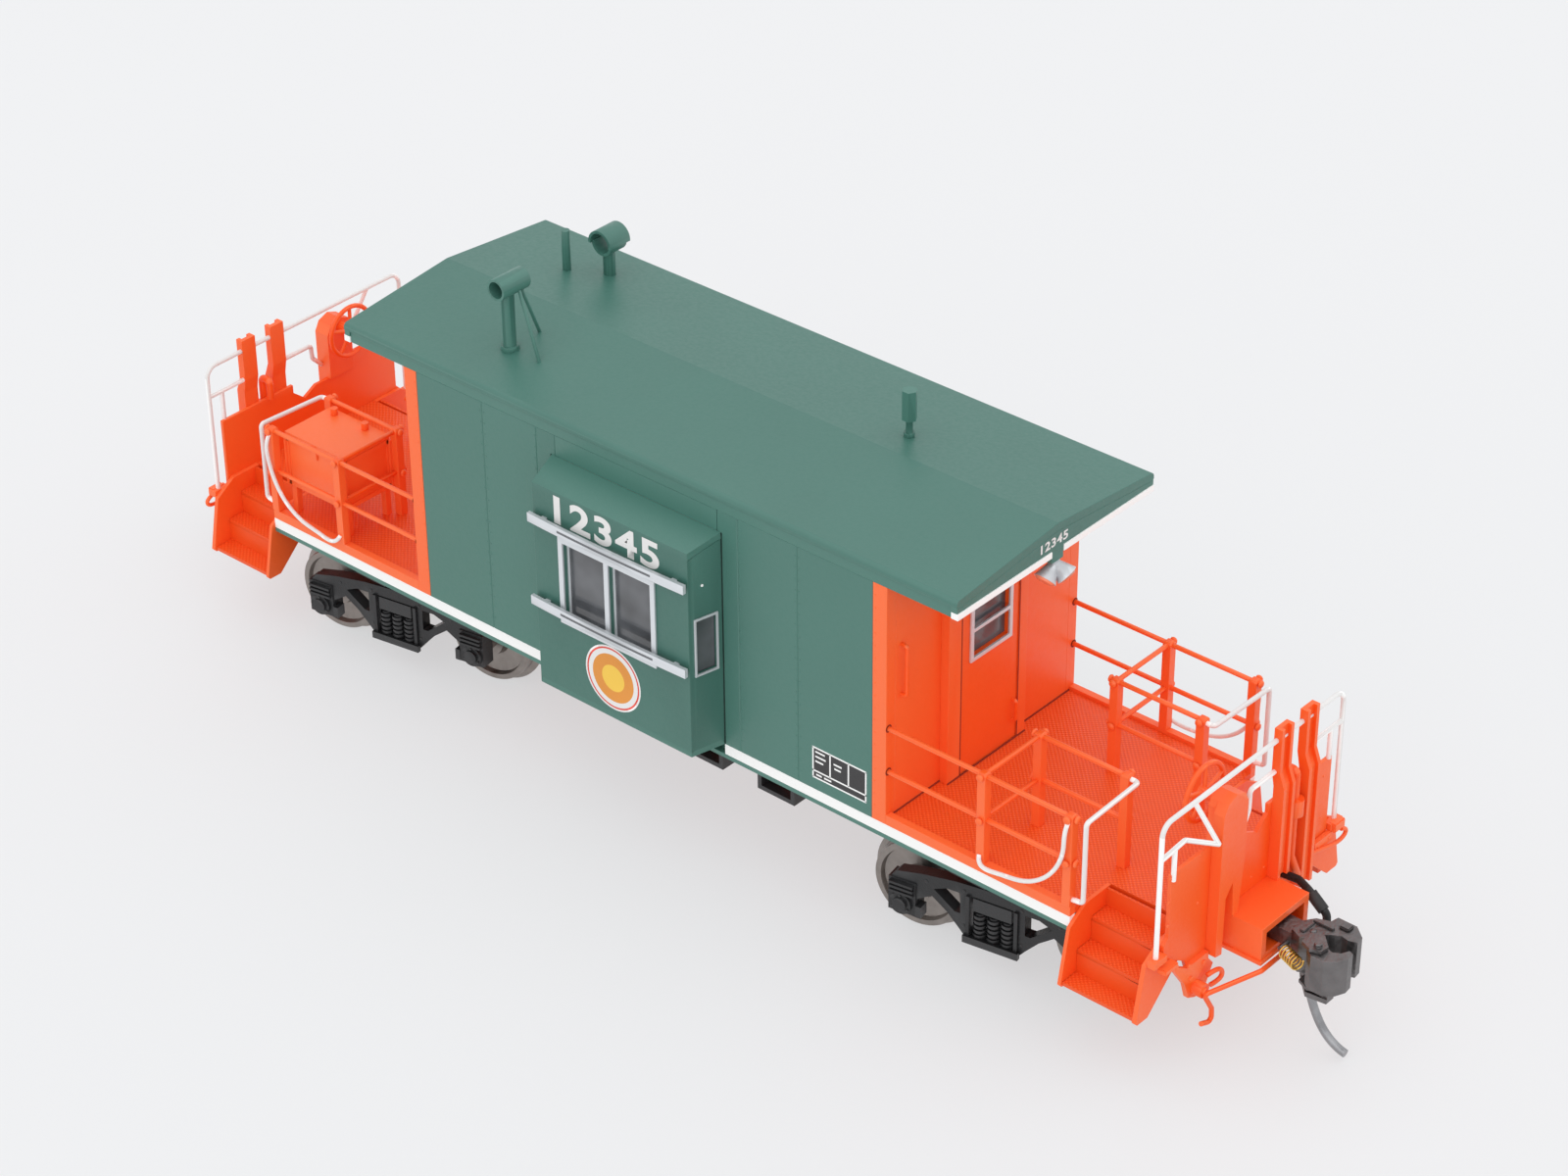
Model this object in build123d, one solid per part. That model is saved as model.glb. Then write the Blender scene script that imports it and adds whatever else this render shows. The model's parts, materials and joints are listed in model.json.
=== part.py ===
from build123d import *
from math import atan2, cos, degrees, radians, sin
import os

# HO-scale bay-window caboose.
# X runs along the car, Y across it, Z up. Z = 0 is the lowest point of the wheel flanges.
# Most pieces are drawn for the +X end and turned half a turn for the other end.

os.makedirs("parts", exist_ok=True)

# ---------------------------------------------------------------- driving dimensions (mm)
BODY_HALF_LENGTH = 31.6
BODY_HALF_WIDTH = 14.66
WALL = 0.8
WALL_BOTTOM = 14.5
WALL_TOP = 41.3
CORNER_POST_INNER = 29.9
WALL_SEAM = 20.65
BAY_STRIP_OUTER = 13.2
BAY_OPENING = 10.6

ROOF_HALF_LENGTH = 39.93
ROOF_HALF_WIDTH = 14.86
EAVE_TOP = 43.35
RIDGE_TOP = 44.75
ROOF_UNDER_EAVE = 42.5
ROOF_UNDER_RIDGE = 43.85
FASCIA_BOTTOM = 42.0
FASCIA = 0.73

BAY_FRONT = 18.48
BAY_FRONT_HALF = 10.2
BAY_BACK_HALF = 11.1
BAY_SHEET = 0.6
BAY_TOP_FRONT = 38.0
BAY_TOP_BACK = 39.0

DECK_TOP = 15.2
DECK_BOTTOM = 14.5
DECK_HALF_LENGTH = 53.7
DECK_TONGUE_HALF_WIDTH = 8.9
DECK_BAND_TOP = 15.6
SILL_BOTTOM = 12.8
STRIPE_BOTTOM = 13.3

STEP_OUTER = 62.3
END_SHEET_BACK = 62.8
END_SHEET_FRONT = 63.2
HANDRAIL_TOP = 29.1
HANDRAIL_HALF_WIDTH = 14.2
WIRE = 0.5

PEN_X = (43.1, 53.2)
PEN_OUTER_Y = 14.3
PEN_INNER_Y = 5.9
PEN_POST = 0.95
PEN_POST_TOP = 25.84
RAIL_HEIGHTS = (25.45, 20.5)

TRUCK_CENTRE = 40.56
TRUCK_TURN = 10.1
WHEELBASE = 19.8
AXLE_Z = 5.45
FLANGE_RADIUS = 5.45
TREAD_RADIUS = 4.8
WHEEL_BACK = 6.95
WHEEL_FACE = 9.1
JOURNAL_RADIUS = 0.6
BEARING_CLEARANCE = 0.05
KINGPIN_RADIUS = 0.75

POCKET_FRONT = 67.7
POCKET_BACK = 57.5
POCKET_HALF_WIDTH = 3.75
POCKET_BOTTOM = 10.0
POCKET_TOP = 13.6
COUPLER_PIVOT_X = 60.4
COUPLER_POST_RADIUS = 0.95
KNUCKLE_PIN = (72.6, -1.9)
KNUCKLE_PIN_RADIUS = 0.4


# ---------------------------------------------------------------- small tools
def block(x0, x1, y0, y1, z0, z1):
    """A rectangular solid between two opposite corners."""
    box = Box(abs(x1 - x0), abs(y1 - y0), abs(z1 - z0))
    return Pos((x0 + x1) / 2, (y0 + y1) / 2, (z0 + z1) / 2) * box


def outline(plane, points):
    """A filled outline on a plane."""
    return plane * Polygon(*points, align=None)


def slab_x(points, x0, x1):
    """An outline given as (y, z) pairs, thickened from x0 to x1."""
    plane = Plane(origin=(x0, 0, 0), x_dir=(0, 1, 0), z_dir=(1, 0, 0))
    return extrude(outline(plane, points), amount=x1 - x0, dir=plane.z_dir)


def slab_y(points, y0, y1):
    """An outline given as (x, z) pairs, thickened from y0 to y1."""
    plane = Plane(origin=(0, y1, 0), x_dir=(1, 0, 0), z_dir=(0, -1, 0))
    return extrude(outline(plane, points), amount=y1 - y0, dir=plane.z_dir)


def slab_z(points, z0, z1):
    """An outline given as (x, y) pairs, thickened from z0 to z1."""
    return extrude(outline(Plane(origin=(0, 0, z0)), points), amount=z1 - z0, dir=(0, 0, 1))


def rod(start, end, diameter):
    """A straight round rod between two points."""
    along = Vector(*end) - Vector(*start)
    plane = Plane(origin=start, z_dir=along.normalized())
    return extrude(plane * Circle(diameter / 2), amount=along.length)


def cone_between(start, end, start_radius, end_radius):
    """A tapered round solid between two points."""
    along = Vector(*end) - Vector(*start)
    plane = Plane(origin=start, z_dir=along.normalized())
    solid = Cone(start_radius, end_radius, along.length, align=(Align.CENTER, Align.CENTER, Align.MIN))
    return plane * solid


def bent_wire(points, diameter, bend_radius):
    """A round wire along straight lengths joined by bends."""
    path = FilletPolyline(*points, radius=bend_radius)
    start = Plane(origin=path @ 0, z_dir=path % 0)
    return sweep(start * Circle(diameter / 2), path=path)


def curved_wire(points, diameter):
    """A round wire along one smooth curve."""
    path = Spline(*points)
    start = Plane(origin=path @ 0, z_dir=path % 0)
    return sweep(start * Circle(diameter / 2), path=path)


def both_ends(pieces):
    """The pieces and a copy of them turned half a turn about the middle of the car."""
    return pieces + [piece.rotate(Axis.Z, 180) for piece in pieces]


def both_sides(pieces):
    """The pieces and their mirror image across the centre line of the car."""
    return pieces + [mirror(piece, about=Plane.XZ) for piece in pieces]


def four_corners(pieces):
    """The pieces, mirrored across the centre line, at both ends."""
    return both_ends(both_sides(pieces))


def save(name, pieces):
    """Write every solid of the pieces to one STEP file."""
    solids = [solid for piece in pieces for solid in piece.solids()]
    export_step(Compound(children=solids), f"parts/{name}.step")


# ---------------------------------------------------------------- roof
def roof_panel():
    """Low gable sheet with rounded eaves."""
    points = [
        (-ROOF_HALF_WIDTH, 42.6),
        (-14.2, ROOF_UNDER_EAVE),
        (0, ROOF_UNDER_RIDGE),
        (14.2, ROOF_UNDER_EAVE),
        (ROOF_HALF_WIDTH, 42.6),
        (ROOF_HALF_WIDTH, EAVE_TOP),
        (0, RIDGE_TOP),
        (-ROOF_HALF_WIDTH, EAVE_TOP),
    ]
    panel = slab_x(points, -ROOF_HALF_LENGTH, ROOF_HALF_LENGTH)
    eaves = panel.edges().filter_by(Axis.X).filter_by_position(Axis.Z, EAVE_TOP - 0.01, EAVE_TOP + 0.01)
    return [fillet(eaves, 0.5)]


def roof_eave_strips():
    """Lip under each eave, flush with the side wall."""
    inner = BODY_HALF_WIDTH - WALL
    reach = ROOF_HALF_LENGTH - FASCIA
    return both_sides([block(-reach, reach, -BODY_HALF_WIDTH, -inner, WALL_TOP, ROOF_UNDER_EAVE)])


def roof_end_fascias():
    """Gable plate under each end of the roof, with the tab that carries the end lamp."""
    points = [
        (-14.8, FASCIA_BOTTOM),
        (-0.9, FASCIA_BOTTOM),
        (-0.9, 40.6),
        (0.9, 40.6),
        (0.9, FASCIA_BOTTOM),
        (14.8, FASCIA_BOTTOM),
        (14.8, 42.59),
        (14.2, ROOF_UNDER_EAVE),
        (0, ROOF_UNDER_RIDGE),
        (-14.2, ROOF_UNDER_EAVE),
        (-14.8, 42.59),
    ]
    return both_ends([slab_x(points, ROOF_HALF_LENGTH - FASCIA, ROOF_HALF_LENGTH)])


def roof_end_trims():
    """Pale strips under the fascia, either side of the lamp tab."""
    back = ROOF_HALF_LENGTH - FASCIA
    front = ROOF_HALF_LENGTH + 0.1
    strip = block(back, front, -14.8, -0.9, WALL_TOP, FASCIA_BOTTOM)
    return four_corners([strip])


def end_lamps():
    """Two splayed lamp buckets on one neck below the fascia tab."""
    neck = block(39.25, 39.85, -0.5, 0.5, 39.9, 40.6)
    inward = cone_between((39.5, 0.1, 40.1), (39.5, -1.25, 38.9), 0.45, 1.15)
    outward = cone_between((39.45, 0.25, 40.1), (40.65, 0.6, 39.0), 0.45, 1.15)
    return both_ends([neck + inward + outward])


def lamp_lenses():
    """Shallow lens closing each lamp bucket."""
    inward = cone_between((39.5, -1.25, 38.9), (39.5, -1.4, 38.767), 1.05, 0.8)
    outward = cone_between((40.65, 0.6, 39.0), (40.8, 0.644, 38.8625), 1.05, 0.8)
    return both_ends([inward, outward])


# ---------------------------------------------------------------- walls and doors
def side_walls():
    """Flat wall panels with scribed seams, and the header over each bay."""
    inner = BODY_HALF_WIDTH - WALL
    edges = (BAY_OPENING, BAY_STRIP_OUTER, WALL_SEAM, CORNER_POST_INNER)
    pieces = [block(-BAY_OPENING, BAY_OPENING, -BODY_HALF_WIDTH, -inner, BAY_TOP_BACK, WALL_TOP)]
    for near, far in zip(edges, edges[1:]):
        for start, stop in ((near, far), (-far, -near)):
            panel = block(start, stop, -BODY_HALF_WIDTH, -inner, WALL_BOTTOM, WALL_TOP)
            outer = panel.faces().sort_by(Axis.Y)[0].edges().filter_by(Axis.Z)
            pieces.append(chamfer(outer, 0.08))
    return both_sides(pieces)


def corner_posts():
    """Folded post at each corner of the body."""
    inner = BODY_HALF_WIDTH - WALL
    side = block(CORNER_POST_INNER, BODY_HALF_LENGTH, -BODY_HALF_WIDTH, -inner, WALL_BOTTOM, WALL_TOP)
    end = block(BODY_HALF_LENGTH - WALL, BODY_HALF_LENGTH, -inner, -13.3, DECK_TOP, WALL_TOP)
    return four_corners([side + end])


def end_walls():
    """End wall with its doorway, and the raised surround that frames the door."""
    points = [(-13.3, DECK_TOP), (13.3, DECK_TOP), (13.3, 42.5), (0, 43.8), (-13.3, 42.5)]
    wall = slab_x(points, BODY_HALF_LENGTH - WALL, BODY_HALF_LENGTH)
    wall -= block(30, 33, -4.2, 3.6, DECK_TOP - 0.1, 36.0)
    surround = block(BODY_HALF_LENGTH, 32.6, -6.6, 5.4, DECK_TOP, WALL_TOP)
    surround -= block(31, 33, -4.7, 4.1, DECK_TOP - 0.1, 36.5)
    return both_ends([wall, surround])


def end_doors():
    """Door leaf with a window opening."""
    leaf = block(BODY_HALF_LENGTH, 32.5, -4.65, 4.05, DECK_TOP + 0.05, 36.45)
    leaf -= block(31, 33, -3.0, 2.45, 28.15, 35.2)
    return both_ends([leaf])


def door_window_frames():
    """Bright frame and crossbar around each door window."""
    frame = block(32.5, 32.75, -3.45, 2.9, 27.7, 35.65)
    frame -= block(32, 33, -3.0, 2.45, 28.15, 31.0)
    frame -= block(32, 33, -3.0, 2.45, 31.4, 35.2)
    return both_ends([frame])


# ---------------------------------------------------------------- bays
def bay_body(front, front_half, back_half, bottom, top_front, top_back, wall_line):
    """The room of a bay: splayed in plan and sloping at the top."""
    plan = [(-back_half, -wall_line), (-front_half, -front), (front_half, -front), (back_half, -wall_line)]
    profile = [(-wall_line, bottom), (-front, bottom), (-front, top_front), (-wall_line, top_back)]
    return slab_z(plan, bottom, top_back) & slab_x(profile, -back_half, back_half)


def on_bay_end(piece):
    """Move a piece drawn around the origin onto the splayed +X end of the near bay."""
    run = BAY_FRONT - BODY_HALF_WIDTH
    turn = degrees(atan2(BAY_BACK_HALF - BAY_FRONT_HALF, run))
    middle_x = (BAY_FRONT_HALF + BAY_BACK_HALF) / 2
    middle_y = -(BAY_FRONT + BODY_HALF_WIDTH) / 2
    return Pos(middle_x, middle_y, 0) * Rot(0, 0, -turn) * piece


def both_bay_ends(piece):
    """A piece on both splayed ends of the near bay."""
    placed = on_bay_end(piece)
    return [placed, mirror(placed, about=Plane.YZ)]


def bay_panels(shell):
    """The bay shell divided along its folds: top, floor, front and two ends."""
    inner_front = BAY_FRONT - BAY_SHEET
    inner_back = BODY_HALF_WIDTH - 0.2
    slope = (BAY_TOP_BACK - BAY_TOP_FRONT) / (inner_front - inner_back)
    outer_z = BAY_TOP_FRONT - BAY_SHEET - slope * (25 - inner_front)
    above = slab_x([(-25, outer_z), (-inner_back, BAY_TOP_BACK - BAY_SHEET), (-inner_back, 50), (-25, 50)],
                   -20, 20)
    top = shell & above
    floor = shell & block(-20, 20, -20, -10, 10, WALL_BOTTOM + BAY_SHEET)
    rest = shell - top - floor
    front = rest & block(-20, 20, -20, -inner_front, 10, 50)
    sides = rest - front
    right = sides & block(0, 20, -20, -10, 10, 50)
    left = sides & block(-20, 0, -20, -10, 10, 50)
    return [top, floor, front, right, left]


def bays():
    """Folded shell of each bay, open to the cabin, with front and end window openings."""
    shell = bay_body(BAY_FRONT, BAY_FRONT_HALF, BAY_BACK_HALF, WALL_BOTTOM, BAY_TOP_FRONT, BAY_TOP_BACK,
                     BODY_HALF_WIDTH)
    room = bay_body(BAY_FRONT - BAY_SHEET, BAY_FRONT_HALF - BAY_SHEET, BAY_BACK_HALF - BAY_SHEET,
                    WALL_BOTTOM + BAY_SHEET, BAY_TOP_FRONT - BAY_SHEET, BAY_TOP_BACK - BAY_SHEET,
                    BODY_HALF_WIDTH - 0.2)
    shell -= room
    for x0, x1 in ((-6.2, -0.7), (-0.1, 5.4)):
        shell -= block(x0, x1, -19, -17.5, 23.8, 32.6)
    for opening in both_bay_ends(block(-1, 1, -1.15, 1.15, 24.0, 30.1)):
        shell -= opening
    return both_ends(bay_panels(shell))


def bay_window_frames():
    """Bright window frames on the front and ends of each bay, with the inner sashes."""
    front = block(-6.8, 6.0, -BAY_FRONT - 0.25, -BAY_FRONT, 23.2, 33.2)
    pieces = []
    for x0, x1 in ((-6.2, -0.7), (-0.1, 5.4)):
        front -= block(x0, x1, -19, -18, 23.8, 32.6)
        sash = block(x0, x1, -BAY_FRONT + 0.4, -BAY_FRONT + 0.6, 23.8, 32.6)
        sash -= block(x0 + 0.28, x1 - 0.28, -19, -17, 24.08, 32.32)
        pieces.append(sash)
    pieces.append(front)
    end = block(0, 0.2, -1.4, 1.4, 23.75, 30.35) - block(-1, 1, -1.15, 1.15, 24.0, 30.1)
    return both_ends(pieces + both_bay_ends(end))


def bay_guide_rails():
    """Two grooved rails across the front of each bay, bowed slightly outward, on standoffs."""
    pieces = []
    for middle in (24.7, 34.3):
        back = ThreePointArc((-10.3, -18.85), (0, -19.1), (10.3, -18.85))
        front = ThreePointArc((10.3, -19.25), (0, -19.5), (-10.3, -19.25))
        sides = [Line(back @ 1, front @ 0), Line(front @ 1, back @ 0)]
        face = make_face([back, sides[0], front, sides[1]])
        rail = Pos(0, 0, middle - 0.5) * extrude(face, amount=1.0)
        rail -= block(-11, 11, -20, -19.38, middle - 0.14, middle + 0.14)
        pieces.append(rail)
        for x in (-8.6, 8.6):
            standoff = block(x - 0.3, x + 0.3, -18.86, -BAY_FRONT, middle - 0.3, middle + 0.3)
            pieces.append(standoff - rail)
    return both_ends(pieces)


def window_panes():
    """Clear panes of the bay and door windows."""
    pieces = [block(31.9, 32.1, -3.0, 2.45, 28.15, 35.2)]
    for x0, x1 in ((-6.2, -0.7), (-0.1, 5.4)):
        pieces.append(block(x0, x1, -BAY_FRONT + 0.6, -BAY_FRONT + 0.75, 23.8, 32.6))
    pieces += both_bay_ends(block(-0.35, -0.2, -1.15, 1.15, 24.0, 30.1))
    return both_ends(pieces)


# ---------------------------------------------------------------- floor and sills
def deck_plate():
    """Floor sheet running through the body and out over both platforms."""
    inner = BODY_HALF_WIDTH - WALL
    main = block(-DECK_HALF_LENGTH, DECK_HALF_LENGTH, -inner, inner, DECK_BOTTOM, DECK_TOP)
    tongue = block(-END_SHEET_BACK, END_SHEET_BACK, -DECK_TONGUE_HALF_WIDTH, DECK_TONGUE_HALF_WIDTH,
                   DECK_BOTTOM, DECK_TOP)
    return [main + tongue]


def deck_edge_bands():
    """Orange edge angle along each platform side."""
    inner = BODY_HALF_WIDTH - WALL
    band = block(BODY_HALF_LENGTH, DECK_HALF_LENGTH, -BODY_HALF_WIDTH, -inner, DECK_BOTTOM, DECK_BAND_TOP)
    return four_corners([band])


def sill_stripes():
    """White strip along each side sill, broken at the bay."""
    inner = BODY_HALF_WIDTH - WALL
    strip = block(BAY_BACK_HALF, DECK_HALF_LENGTH, -BODY_HALF_WIDTH, -inner, STRIPE_BOTTOM, WALL_BOTTOM)
    return four_corners([strip])


def side_sills():
    """Green angle below the white strip, full length."""
    inner = BODY_HALF_WIDTH - WALL
    reach = DECK_HALF_LENGTH
    flange = block(-reach, reach, -BODY_HALF_WIDTH, -inner, SILL_BOTTOM, STRIPE_BOTTOM)
    web = block(-reach, reach, -inner, -inner + 0.5, SILL_BOTTOM, DECK_BOTTOM)
    return both_sides([flange + web])


def underframe():
    """Centre sill with a body bolster and centre plate over each truck."""
    sill = block(-POCKET_BACK, POCKET_BACK, -2.6, 2.6, 10.6, DECK_BOTTOM)
    sill += block(-END_SHEET_BACK, END_SHEET_BACK, -2.6, 2.6, POCKET_TOP, DECK_BOTTOM)
    for x in (-TRUCK_CENTRE, TRUCK_CENTRE):
        sill += block(x - 2.2, x + 2.2, -13.3, 13.3, 11.4, DECK_BOTTOM)
        sill += Pos(x, 0, 10.25) * Cylinder(2.5, 0.7)
        sill -= Pos(x, 0, 11.4) * Cylinder(KINGPIN_RADIUS, 3.2)
    return [sill]


def underfloor_gear():
    """Air reservoir with straps, brake cylinder and two hanging boxes under the floor."""
    pieces = []
    for y in (-9.9, 9.9):
        tank = rod((-13.6, y, 10.6), (-2.6, y, 10.6), 4.0)
        tank = fillet(tank.edges(), 0.6)
        pieces.append(tank)
        for x in (-12.0, -6.6, -3.4):
            hanger = block(x - 0.4, x + 0.4, y - 1.2, y + 1.2, 11.0, DECK_BOTTOM)
            pieces.append(hanger - tank)
    for x0, x1, y0, y1 in ((4.9, 8.9, -12.6, -9.4), (13.5, 18.3, -12.6, -9.0), (-18.3, -13.9, 9.0, 12.6)):
        tray = block(x0, x1, y0, y1, 9.2, DECK_BOTTOM)
        tray -= block(x0 + 0.5, x1 - 0.5, y0 - 1, y1 + 1, 9.7, DECK_BOTTOM - 1.5)
        pieces.append(tray)
    cylinder = rod((5.0, 6.0, 11.4), (9.6, 6.0, 11.4), 4.4) + rod((9.6, 6.0, 11.4), (13.8, 6.0, 11.4), 0.9)
    bracket = block(6.2, 7.4, 4.8, 7.2, 12.0, DECK_BOTTOM)
    return pieces + [cylinder, bracket - cylinder]


# ---------------------------------------------------------------- platforms
def pen_posts():
    """Square stanchions with rounded tops: four to each pen."""
    half = PEN_POST / 2
    pieces = []
    for x in PEN_X:
        for y, base in ((PEN_OUTER_Y, DECK_BAND_TOP), (PEN_INNER_Y, DECK_TOP)):
            post = block(x - half, x + half, -y - half, -y + half, base, PEN_POST_TOP)
            pieces.append(fillet(post.faces().sort_by(Axis.Z)[-1].edges(), 0.3))
    return four_corners(pieces)


def pen_rails():
    """Round rails between the wall and the stanchions and around each pen."""
    half = PEN_POST / 2
    first, second = PEN_X
    pieces = []
    for z in RAIL_HEIGHTS:
        outer, inner = -PEN_OUTER_Y, -PEN_INNER_Y
        pieces.append(rod((BODY_HALF_LENGTH, outer, z), (first - half, outer, z), WIRE))
        pieces.append(rod((first + half, outer, z), (second - half, outer, z), WIRE))
        pieces.append(rod((first + half, inner, z), (second - half, inner, z), WIRE))
        pieces.append(rod((first, outer + half, z), (first, inner - half, z), WIRE))
    return four_corners(pieces)


def pen_grab_wires():
    """White wires of each pen: the end grab with its drop leg, and the curved side grab."""
    face = PEN_X[1] + PEN_POST / 2
    end_grab = bent_wire(
        [(face, -PEN_INNER_Y, 25.3), (54.5, -PEN_INNER_Y, 25.3), (54.9, -14.3, 25.5), (54.9, -14.3, 16.5),
         (face, -14.3, 16.3)], WIRE, 0.4)
    outer = PEN_OUTER_Y + PEN_POST / 2 + 0.02
    side_grab = curved_wire(
        [(53.2, -outer, 25.1), (53.2, -15.2, 24.2), (53.1, -15.25, 22.3), (51.6, -15.25, 18.7),
         (48.6, -15.25, 16.5), (45.6, -15.25, 15.9), (43.5, -15.2, 16.0), (43.1, -outer, 16.6)], 0.44)
    reach = PEN_POST / 2
    for x in PEN_X:
        side_grab -= block(x - reach, x + reach, -PEN_OUTER_Y - reach, -PEN_OUTER_Y + reach, 15, 26)
        end_grab -= block(x - reach, x + reach, -PEN_OUTER_Y - reach, -PEN_INNER_Y + reach, 15, 26)
    return four_corners([end_grab, side_grab])


def wall_grab_irons():
    """Vertical grab iron on each end wall and the small door handle."""
    face = BODY_HALF_LENGTH
    grab = bent_wire(
        [(face, -12.5, 28.5), (face + 0.7, -12.5, 28.5), (face + 0.7, -12.5, 34.1), (face, -12.5, 34.1)],
        0.4, 0.3)
    handle = bent_wire(
        [(32.5, 3.45, 17.6), (33.0, 3.45, 17.6), (33.0, 3.45, 19.9), (32.5, 3.45, 19.9)], 0.34, 0.25)
    return both_ends([grab, handle])


def tool_box():
    """Box on legs in one pen, with a lid and two knobs."""
    x0, x1, y0, y1 = -52.5, -43.8, -13.0, -6.5
    body = block(x0, x1, y0, y1, 18.6, 24.5)
    lid = block(x0 - 0.1, x1 + 0.1, y0 - 0.1, y1 + 0.05, 24.5, 25.0)
    pieces = [body, lid]
    for x in (x0 + 0.45, x1 - 0.45):
        for y in (y0 + 0.45, y1 - 0.45):
            pieces.append(block(x - 0.35, x + 0.35, y - 0.35, y + 0.35, DECK_TOP, 18.6))
    for x in (-51.1, -46.4):
        pieces.append(Pos(x, -7.3, 25.4) * Cylinder(0.4, 0.8))
    return pieces


def step_sides():
    """Side plates of the four flights of steps."""
    points = [(-8.9, 15.2), (-8.9, 12.4), (-14.4, 7.3), (-16.0, 7.3), (-16.25, 7.6), (-15.1, 13.6),
              (-13.0, 14.95), (-12.6, 15.2)]
    inner = slab_x(points, DECK_HALF_LENGTH, DECK_HALF_LENGTH + 0.4)
    outer = slab_x(points, STEP_OUTER, END_SHEET_BACK)
    return four_corners([inner, outer])


def step_treads():
    """Treads and risers of the four flights of steps."""
    x0, x1 = DECK_HALF_LENGTH + 0.4, STEP_OUTER
    levels = ((16.0, 13.6, 7.5), (13.9, 11.5, 10.1), (11.8, 9.3, 12.7))
    pieces = []
    for outer, inner, z in levels:
        pieces.append(block(x0, x1, -outer, -inner, z, z + 0.4))
    for inner, low, high in ((13.6, 7.9, 10.1), (11.5, 10.5, 12.7), (9.3, 13.1, 15.1)):
        pieces.append(block(x0, x1, -inner - 0.3, -inner, low, high))
    return four_corners(pieces)


# ---------------------------------------------------------------- ends
def end_sheets():
    """Folded sheet across each end, stepped at the top, and the pads under the handrail feet."""
    points = [
        (-13.0, 13.4), (-9.6, 11.2), (-9.0, 9.6), (-3.75, 9.6), (-3.75, 13.6), (3.75, 13.6), (3.75, 9.6),
        (9.0, 9.6), (9.6, 11.2), (13.0, 13.4), (13.0, 22.2), (2.7, 22.2), (2.7, 21.2), (1.1, 19.9),
        (-0.6, 20.8), (-6.0, 20.8), (-6.0, 22.6), (-12.4, 22.6), (-12.4, 15.5), (-13.0, 14.9),
    ]
    sheet = slab_x(points, END_SHEET_BACK, END_SHEET_FRONT)
    pieces = [sheet]
    for side in (-1, 1):
        pieces.append(block(END_SHEET_BACK, 63.7, side * 13.05, side * 15.0, 13.5, 14.25))
    return both_ends(pieces)


def hoop_path():
    """Corner points of the end handrail hoop."""
    x = END_SHEET_FRONT
    half = HANDRAIL_HALF_WIDTH
    return [(x, -half, 14.25), (x, -half, HANDRAIL_TOP), (x, half, HANDRAIL_TOP), (x, half, 14.25)]


def end_posts():
    """Notched channel posts standing on each end sheet, cranked in above the sheet."""
    profile = [(63.2, 10.4), (64.4, 10.4), (64.4, 24.0), (63.8, 25.6), (63.8, 30.4), (62.9, 30.4),
               (62.9, 25.6), (63.2, 24.0)]
    groove = [(64.0, 10.0), (64.8, 10.0), (64.8, 24.1), (64.2, 25.7), (64.2, 31.0), (63.4, 31.0),
              (63.4, 25.5), (64.0, 23.9)]
    rail = bent_wire(hoop_path(), WIRE, 1.3)
    pocket = block(POCKET_BACK, POCKET_FRONT, -POCKET_HALF_WIDTH, 6.0, 9.0, POCKET_TOP)
    pieces = []
    for y in (4.2, 8.3):
        post = slab_y(profile, y - 0.95, y + 0.95) - slab_y(groove, y - 0.5, y + 0.5)
        pieces.append(post - rail - pocket)
    return both_ends(pieces)


def end_air_pipes():
    """Air pipe with its valve between the two posts."""
    pipe = bent_wire(
        [(62.5, 6.2, 22.2), (62.5, 6.2, 24.4), (63.75, 6.2, 24.4), (63.75, 6.2, 14.6), (64.2, 6.9, 12.2)],
        0.8, 0.5)
    valve = Pos(63.95, 6.2, 20.4) * Cylinder(0.75, 1.8)
    return both_ends([pipe + valve])


def brake_housings():
    """Round-topped brake housing on each end sheet, with a recess between its feet."""
    points = [(-6.3, 10.2), (-5.3, 10.0), (-5.2, 16.4), (-4.2, 17.7), (-3.9, 13.6), (-3.1, 13.6),
              (-2.5, 20.0), (-2.5, 26.2), (-3.1, 27.3), (-4.4, 27.8), (-5.7, 27.3), (-6.3, 26.2)]
    front = slab_x(points, END_SHEET_FRONT, 64.4)
    points_top = [(-6.0, 22.6), (-6.0, 20.8), (-2.5, 20.8), (-2.5, 26.2), (-3.1, 27.3), (-4.4, 27.8),
                  (-5.7, 27.3), (-6.0, 26.6)]
    back = slab_x(points_top, 62.4, END_SHEET_FRONT)
    return both_ends([front + back - bent_wire(hoop_path(), WIRE, 1.3)])


def brake_wheels():
    """Spoked handwheel on its shaft, on the platform side of each housing."""
    x, y, z = 60.9, -4.6, 26.6
    centre = (x, y, z)
    ring = Pos(*centre) * Rot(0, 90, 0) * Torus(2.9, 0.26)
    hub = rod((x - 0.4, y, z), (62.4, y, z), 1.2)
    wheel = ring + hub
    for spoke in range(5):
        angle = radians(72 * spoke + 90)
        tip = (x, y + 2.9 * cos(angle), z + 2.9 * sin(angle))
        wheel += rod(centre, tip, 0.42)
    return both_ends([wheel])


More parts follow.
